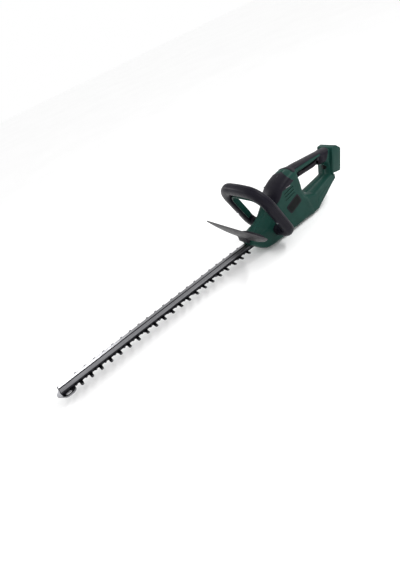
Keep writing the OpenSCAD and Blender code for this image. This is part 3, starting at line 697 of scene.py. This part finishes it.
def loop_shells():
    """The front handle's tube, in its front and rear halves."""
    path = handle_path(LOOP_HALF_W, LOOP_TOP, LOOP_LOW_R, LOOP_TOP_R, 25, 2)
    frames = path_frames(path)
    points = [loop_point(y, s) for y, s in path]
    for name, sign, replaces in (("loop_front", 1, "loop_front_shell"), ("loop_rear", -1, "loop_rear_shell")):
        def section(i, sign=sign):
            foot = max(0.0, 1 - min(i, len(path) - 1 - i) / 4)
            half_d = TUBE_D - 1.0 + 1.2 * foot
            arc = superellipse(TUBE_T, half_d, 2.5, 0, 180, 18)
            return [(u, sign * (v + 0.12)) for u, v in arc]
        mesh = swept(name, points, frames, section)
        bevel_rims(mesh, 0.5, angle=60)
        add_object(name + "_grip", mesh, "frame", MATS["black"], replaces)


def loop_feet():
    """The flared shoes where the front handle meets the housing's sides."""
    for side in (1, -1):
        name = "left" if side > 0 else "right"
        rows = [(26, 1.16), (30, 1.14), (34, 1.06), (38, 1.02)]
        path = [loop_point(side * y, 2) for y, _ in rows]
        frames = [(plane_vector(0, 1), plane_vector(0, 1).cross(Vector((0, 1, 0))))] * len(rows)

        def section(i, rows=rows):
            return superellipse(TUBE_T * rows[i][1], TUBE_D * rows[i][1], 3.0, 0, 345, 23)
        mesh = swept("loop_foot_" + name, path, frames, section)
        bevel_rims(mesh, 1.2, angle=50)
        add_object("loop_foot_" + name, mesh, "frame", MATS["black_hard"])


def squeeze_lever():
    """The green lever that lines the inside of the front handle."""
    half_w = LOOP_HALF_W - TUBE_T - LEVER_GAP
    top = LOOP_TOP - TUBE_T - 5.5
    bend = LOOP_TOP_R - TUBE_T - LEVER_GAP
    leg = top - bend - LEVER_FOOT
    left = [(half_w - LEVER_T, LEVER_FOOT + leg * k / 6) for k in range(7)]
    left += arc_points(half_w - bend, top - bend, bend - LEVER_T, 0, 90, 12)[1:]
    left += [((half_w - bend) * (1 - k / 4), top - LEVER_T) for k in range(1, 5)]
    path = [(-y, s) for y, s in left[:-1]] + left[::-1]
    frames = path_frames(path)

    def section(i):
        end = min(i, len(path) - 1 - i)
        scale = 0.55 if end == 0 else 1.0
        depth_scale = 0.9 if end == 0 else 1.0
        return [(u * scale, v * depth_scale) for u, v in superellipse(LEVER_T, 8, 3.2, 0, 345, 23)]
    mesh = swept("squeeze_bar", [loop_point(y, s) for y, s in path], frames, section)
    add_object("squeeze_bar", mesh, "squeeze_lever", MATS["green"], "bail_lever")


# ---------------------------------------------------------------- trigger
def trigger_bosses():
    """Round seats in the grip's lips that hold the ends of the trigger's pin."""
    low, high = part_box("trigger_pin")
    middle = ((low.x + high.x) / (2 * MM), (low.z + high.z) / (2 * MM))
    ring = np.array(arc_points(*middle, 4.6, 0, 345, 23))
    for side, name in ((1, "left"), (-1, "right")):
        y0, y1 = sorted((side * 8.4, side * 16.2))
        add_object("trigger_boss_" + name, slab("trigger_boss_" + name, ring, y0, y1, 1.0), "frame",
                   MATS["black_hard"])


def trigger_paddle():
    """The trigger's rounded body."""
    outline = rounded([(-189.5, 133, 4), (-181, 136.3, 4), (-177, 129.6, 2), (-134, 129.4, 3),
                       (-127, 134.6, 3), (-110, 134.6, 5), (-108.6, 122, 6), (-112, 112.6, 5),
                       (-150, 110.4, 60), (-182, 108.6, 6), (-189.5, 113, 5)], 5)
    verts, faces, border = filled([outline], (0.2, 0.7, 1.6, 3.0), 3.5)
    width = crowned(distance_to(verts, border), 7.4, 4.5, 2.6)
    points = [(x, y, z) for (x, z), y in zip(verts, width)]
    points += [(x, -y, z) for (x, z), y in zip(verts, width)]
    shift = len(verts)
    triangles = list(faces) + [tuple(shift + i for i in f[::-1]) for f in faces]
    mesh = mesh_from("trigger_paddle", points, triangles)
    weld(mesh)
    add_object("trigger_paddle", mesh, "trigger_lever", MATS["black_hard"], "trigger")


# ---------------------------------------------------------------- guard
def guard_point(y, drop, depth):
    """Point on the leaning guard: drop runs down its face and depth behind it."""
    c = math.cos(GUARD_LEAN)
    s = math.sin(GUARD_LEAN)
    return (GUARD_TOP[0] - s * drop - c * depth, y, GUARD_TOP[1] - c * drop + s * depth)


def guard_wing():
    """The guard's leaning plate, whose lower edge sweeps up to its ends."""
    half_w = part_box("hand_guard")[1].y / MM - GUARD_INSET
    columns = 60
    rows = []
    for k in range(columns + 1):
        y = -half_w + 2 * half_w * k / columns
        t = abs(y) / half_w
        low = GUARD_END_DROP + (GUARD_DROP - GUARD_END_DROP) * (1 - t ** 3)
        bow = 0.9 * (1 - t ** 2)
        section = [(0.5, 0.35), (1.2, 0.0), (0.5 * low, -bow), (low - 1.3, 0.0), (low - 0.3, 0.6),
                   (low, 1.6), (low - 0.4, 2.6), (low - 1.3, 2.9), (0.5 * low, 2.9 - bow), (1.2, 2.9),
                   (0.3, 2.5), (0.0, 1.4)]
        rows.append([guard_point(y, drop, depth) for drop, depth in section])
    add_object("guard_wing", rows_mesh("guard_wing", rows), "frame", MATS["grey"], "hand_guard")


def guard_shade_strip():
    """A small dark ledge behind the left wing's upper edge only: a dark strip put in as painted shade."""
    rows = []
    for k in range(21):
        y = 28 + 4 * k
        back = 124.5 - 8 * math.sqrt(max(0.06, 1 - abs(k / 10 - 1) ** 3))
        rows.append([(back, y, 98.4), (back, y, 100.2), (back + 0.6, y, 100.8), (124.6, y, 100.8),
                     (124.2, y, 97.8), (back + 0.6, y, 97.8)])
    add_object("guard_shade_strip", rows_mesh("guard_shade_strip", rows), "frame", MATS["black_hard"])


def guard_foot():
    """The foot that carries the guard over the nose, and the ribs between the two."""
    foot = rounded([(84, 60.4, 2), (106.2, 58, 2), (106.6, 50, 1), (109, 50, 1), (109.4, 62, 4),
                    (117, 80, 2), (112, 80, 2), (100, 69, 10), (84, 64.4, 3)], 4)
    add_object("guard_foot", slab("guard_foot", foot, -20, 20, 1.2), "frame", MATS["black_hard"])
    rib = rounded([(97, 66, 1), (107, 66, 1), (119.5, 94, 1), (116, 92, 4)], 3)
    for i in range(4):
        y = -18 + 12 * i
        name = f"guard_rib_{i + 1}"
        add_object(name, slab(name, rib, y - 1.2, y + 1.2, 0.4), "frame", MATS["grey"])


def rows_mesh(name, rows):
    """Closed skin over rows of section points."""
    sides = len(rows[0])
    verts = [p for row in rows for p in row]
    faces = [(a + j, a + (j + 1) % sides, a + sides + (j + 1) % sides, a + sides + j)
             for a in range(0, (len(rows) - 1) * sides, sides) for j in range(sides)]
    faces += [tuple(range(sides)), tuple(range(len(verts) - 1, len(verts) - sides - 1, -1))]
    return mesh_from(name, verts, faces)


# ---------------------------------------------------------------- blades and bar
def tooth(x, tip_y, tip_r, root_w):
    """Finger-shaped tooth with a rounded root and a round end."""
    foot = BLADE_HALF_W
    rise = [(root_w / 2 + 1.4, foot), (root_w / 2 - 0.1, foot + 0.5), (tip_r + 0.3, foot + 1.7)]
    tip = arc_points(x, tip_y, tip_r, 180, 0, 12)
    return [(x - u, v) for u, v in rise] + tip + [(x + u, v) for u, v in reversed(rise)]


def blade(name, replaces, first_x, tip_y, tip_r, root_w, body):
    """A toothed blade whose teeth are bevelled along their edges."""
    low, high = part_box(replaces)
    side = [(low.x / MM, 21), (22, 21), (34, BLADE_HALF_W)]
    for i in range(TOOTH_COUNT - 1, -1, -1):
        side += tooth(first_x - TOOTH_PITCH * i, tip_y, tip_r, root_w)
    side += [(high.x / MM - 6, BLADE_HALF_W), (high.x / MM, BLADE_HALF_W - 6)]
    outline = side + [(x, -y) for x, y in reversed(side)]
    count = len(outline)
    z0 = low.z / MM
    z1 = high.z / MM
    verts = [(x, y, z0) for x, y in outline] + [(x, y, z1) for x, y in outline]
    faces = [tuple(range(count)), tuple(range(2 * count - 1, count - 1, -1))]
    faces += [(i, (i + 1) % count, count + (i + 1) % count, count + i) for i in range(count)]
    mesh = mesh_from(name, verts, faces)

    def teeth_only(edge):
        ends = [v.co for v in edge.verts]
        return min(c.x for c in ends) > 0.1 and min(abs(c.y) for c in ends) > 0.0117
    bevel_rims(mesh, 0.75, 1, teeth_only, 1, 60)
    add_object(name, mesh, body, [MATS["blade"], MATS["ground_and_highlight"]], replaces, 25)
    # Tip bevels take the lighter ground metal: ground steel that also stands in for the highlight on each tip
    for polygon in mesh.polygons:
        at_tip = abs(polygon.center.y) > (tip_y + 0.8) * MM and 0.2 < polygon.normal.z < 0.9
        polygon.material_index = 1 if at_tip else 0


def tip_highlight_spots(name, z_node, first_x, tip_y, radius, body):
    """Lighter metal discs on top of the long teeth's ends: a painted highlight on each tip."""
    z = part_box(z_node)[1].z / MM
    verts = []
    faces = []
    for i in range(TOOTH_COUNT):
        for side in (1, -1):
            x = first_x - TOOTH_PITCH * i
            first = len(verts)
            for r, rise in ((radius, -0.2), (radius, 0.04), (radius - 0.7, 0.16)):
                ring = arc_points(0, 0, r, 0, 337.5, SPOT_SIDES - 1)
                verts += [(x + dx, side * (tip_y + dy), z + rise) for dx, dy in ring]
            for start in (first, first + SPOT_SIDES):
                for k in range(SPOT_SIDES):
                    after = (k + 1) % SPOT_SIDES
                    faces.append((start + k, start + after, start + SPOT_SIDES + after,
                                  start + SPOT_SIDES + k))
            top = first + 2 * SPOT_SIDES
            faces += [tuple(range(top, top + SPOT_SIDES)),
                      tuple(range(first + SPOT_SIDES - 1, first - 1, -1))]
    add_object(name, mesh_from(name, verts, faces), body, MATS["ground_and_highlight"])


def cutter_blades():
    """Both blades: the lower one's long blunt teeth and the upper one's short cutting teeth."""
    short_x = FIRST_TOOTH + TOOTH_LEAD
    blade("blade_long_teeth", "lower_blade", FIRST_TOOTH, 23.7, 3.6, 9.5, "cutter_lower")
    blade("blade_short_teeth", "upper_blade", short_x, 15, 3.2, 9.5, "cutter_upper")
    # Round lighter discs on the long teeth's ends: painted highlights
    tip_highlight_spots("tooth_tip_highlights", "lower_blade", FIRST_TOOTH, 24.0, 1.5, "cutter_lower")


def bar():
    """The drawn support bar, with its two sloping flanks and the groove between them; its upright sides and
    the groove's floor get a darker metal as painted shade.
    """
    low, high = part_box("support_bar")
    z0 = low.z / MM
    edge = 5.0
    ridge = 5.9
    half = [(BAR_HALF_W, 0.0), (BAR_HALF_W, edge - 0.9), (12.5, edge - 0.3), (11.8, edge), (7.5, edge + 0.4),
            (3.0, ridge - 0.05), (2.5, ridge), (2.1, ridge - 0.15), (1.4, ridge - 1.0),
            (0.9, ridge - 1.2)]
    section = half + [(-y, z) for y, z in reversed(half)]
    stations = [low.x / MM, low.x / MM + 1] + [80 + 58 * k for k in range(10)]
    stations += [high.x / MM - 1, high.x / MM]
    mesh = rows_mesh("bar_profile", [[(x, y, z0 + z) for y, z in section] for x in stations])
    materials = [MATS["bar"], MATS["bar_painted_shade"]]
    add_object("bar_profile", mesh, "frame", materials, "support_bar", 20)
    # The upright sides and the groove's floor take the darker metal: painted shade
    for polygon in mesh.polygons:
        in_groove = abs(polygon.center.y) < 2.0 * MM and polygon.normal.z > 0
        polygon.material_index = 1 if abs(polygon.normal.y) > 0.8 or in_groove else 0


# ---------------------------------------------------------------- carried-over nodes
NODE_LOOKS = {
    "steel": ("loop_screws", "bail_springs", "trigger_pin", "trigger_spring", "motor_can", "pinion",
              "gearbox_base", "crank_axle", "crank_gear", "bar_washers", "bar_sleeves"),
    "dark_steel": ("housing_screws", "guard_screws", "gearbox_screws", "axle_clip", "bar_bolts", "tip_screws",
                   "motor_magnets"),
    "black_hard": ("bail_switch", "trigger_switch", "battery_rails", "terminal_block", "motor_end_cap",
                   "motor_fan", "bar_end_block", "motor_leads"),
    "brass": ("terminal_blades",),
    "bronze": ("motor_bearings", "crank_bush"),
    "winding": ("rotor",),
    "cast": ("gearbox_cover",),
    "tip": ("tip_guard",),
    "red": ("battery_leads",),
}


def dress_frame():
    """Materials and softened edges for the nodes that show as they were designed."""
    for look, names in NODE_LOOKS.items():
        for name in names:
            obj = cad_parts[name]
            obj.data.materials.clear()
            obj.data.materials.append(MATS[look])
    edges = {"tip_guard": 0.6, "battery_rails": 0.4, "bar_bolts": 0.3, "bar_end_block": 0.4,
             "guard_screws": 0.3, "housing_screws": 0.25, "loop_screws": 0.25}
    for name, width in edges.items():
        bevelled(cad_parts[name], width, 2, 35)


# ---------------------------------------------------------------- studio
def camera():
    data = bpy.data.cameras.new("camera")
    data.lens = 25.16
    data.sensor_width = 36
    data.clip_end = 50
    data.clip_start = 0.01
    obj = bpy.data.objects.new("camera", data)
    right = Vector((-0.744, 0.575, -0.339)).normalized()
    forward = Vector((-0.335, -0.761, -0.556)).normalized()
    up = right.cross(forward)
    turn = Matrix((right, up, -forward)).transposed().to_4x4()
    obj.matrix_world = Matrix.Translation((0.5971, 0.7415, 0.5716)) @ turn
    bpy.context.scene.collection.objects.link(obj)
    bpy.context.scene.camera = obj


def area_light(name, place, target, size, power):
    data = bpy.data.lights.new(name, "AREA")
    data.shape = "RECTANGLE"
    data.size = size[0]
    data.size_y = size[1]
    data.energy = power
    obj = bpy.data.objects.new(name, data)
    obj.location = place
    obj.rotation_euler = (Vector(target) - Vector(place)).to_track_quat("-Z", "Y").to_euler()
    bpy.context.scene.collection.objects.link(obj)


def floor():
    """A wide pale floor just under the tool."""
    mat, bsdf = new_material("pale_floor")
    tone = ramp(mat, noise(mat, 3, 2), [(0.3, (0.96, 0.96, 0.96)), (0.7, (0.98, 0.98, 0.98))])
    link(mat, tone, bsdf.inputs["Base Color"])
    bsdf.inputs["Roughness"].default_value = 0.9
    bsdf.inputs["Specular IOR Level"].default_value = 0.1
    size = 8.0
    mesh = bpy.data.meshes.new("floor")
    corners = [(-size, -size, 0), (size, -size, 0), (size, size, 0), (-size, size, 0)]
    mesh.from_pydata(corners, [], [(0, 1, 2, 3)])
    mesh.materials.append(mat)
    obj = bpy.data.objects.new("floor", mesh)
    obj.location.z = cad_bounds[0][2] - 0.0005
    bpy.context.scene.collection.objects.link(obj)


def studio():
    """White surroundings and two soft lights."""
    bpy.context.scene.view_settings.view_transform = "Standard"
    world = bpy.data.worlds.new("studio")
    world.use_nodes = True
    world.node_tree.nodes["Background"].inputs[0].default_value = (1, 1, 1, 1)
    world.node_tree.nodes["Background"].inputs[1].default_value = 1.0
    bpy.context.scene.world = world
    area_light("ridge_light", (-0.6, 0.55, 1.2), (-0.05, 0, 0.12), (1.1, 0.12), 10)
    area_light("bar_light", (0.76, -1.58, 0.71), (0.6, 0, 0.04), (0.75, 0.3), 9)


MATS = make_materials()
camera()
floor()
studio()
for half in (1, -1):
    housing_half(half)
hump_cover()
grip_cover()
side_panels()
front_panels()
dock()
loop_shells()
loop_feet()
squeeze_lever()
trigger_paddle()
trigger_bosses()
guard_wing()
guard_shade_strip()
guard_foot()
cutter_blades()
bar()
dress_frame()
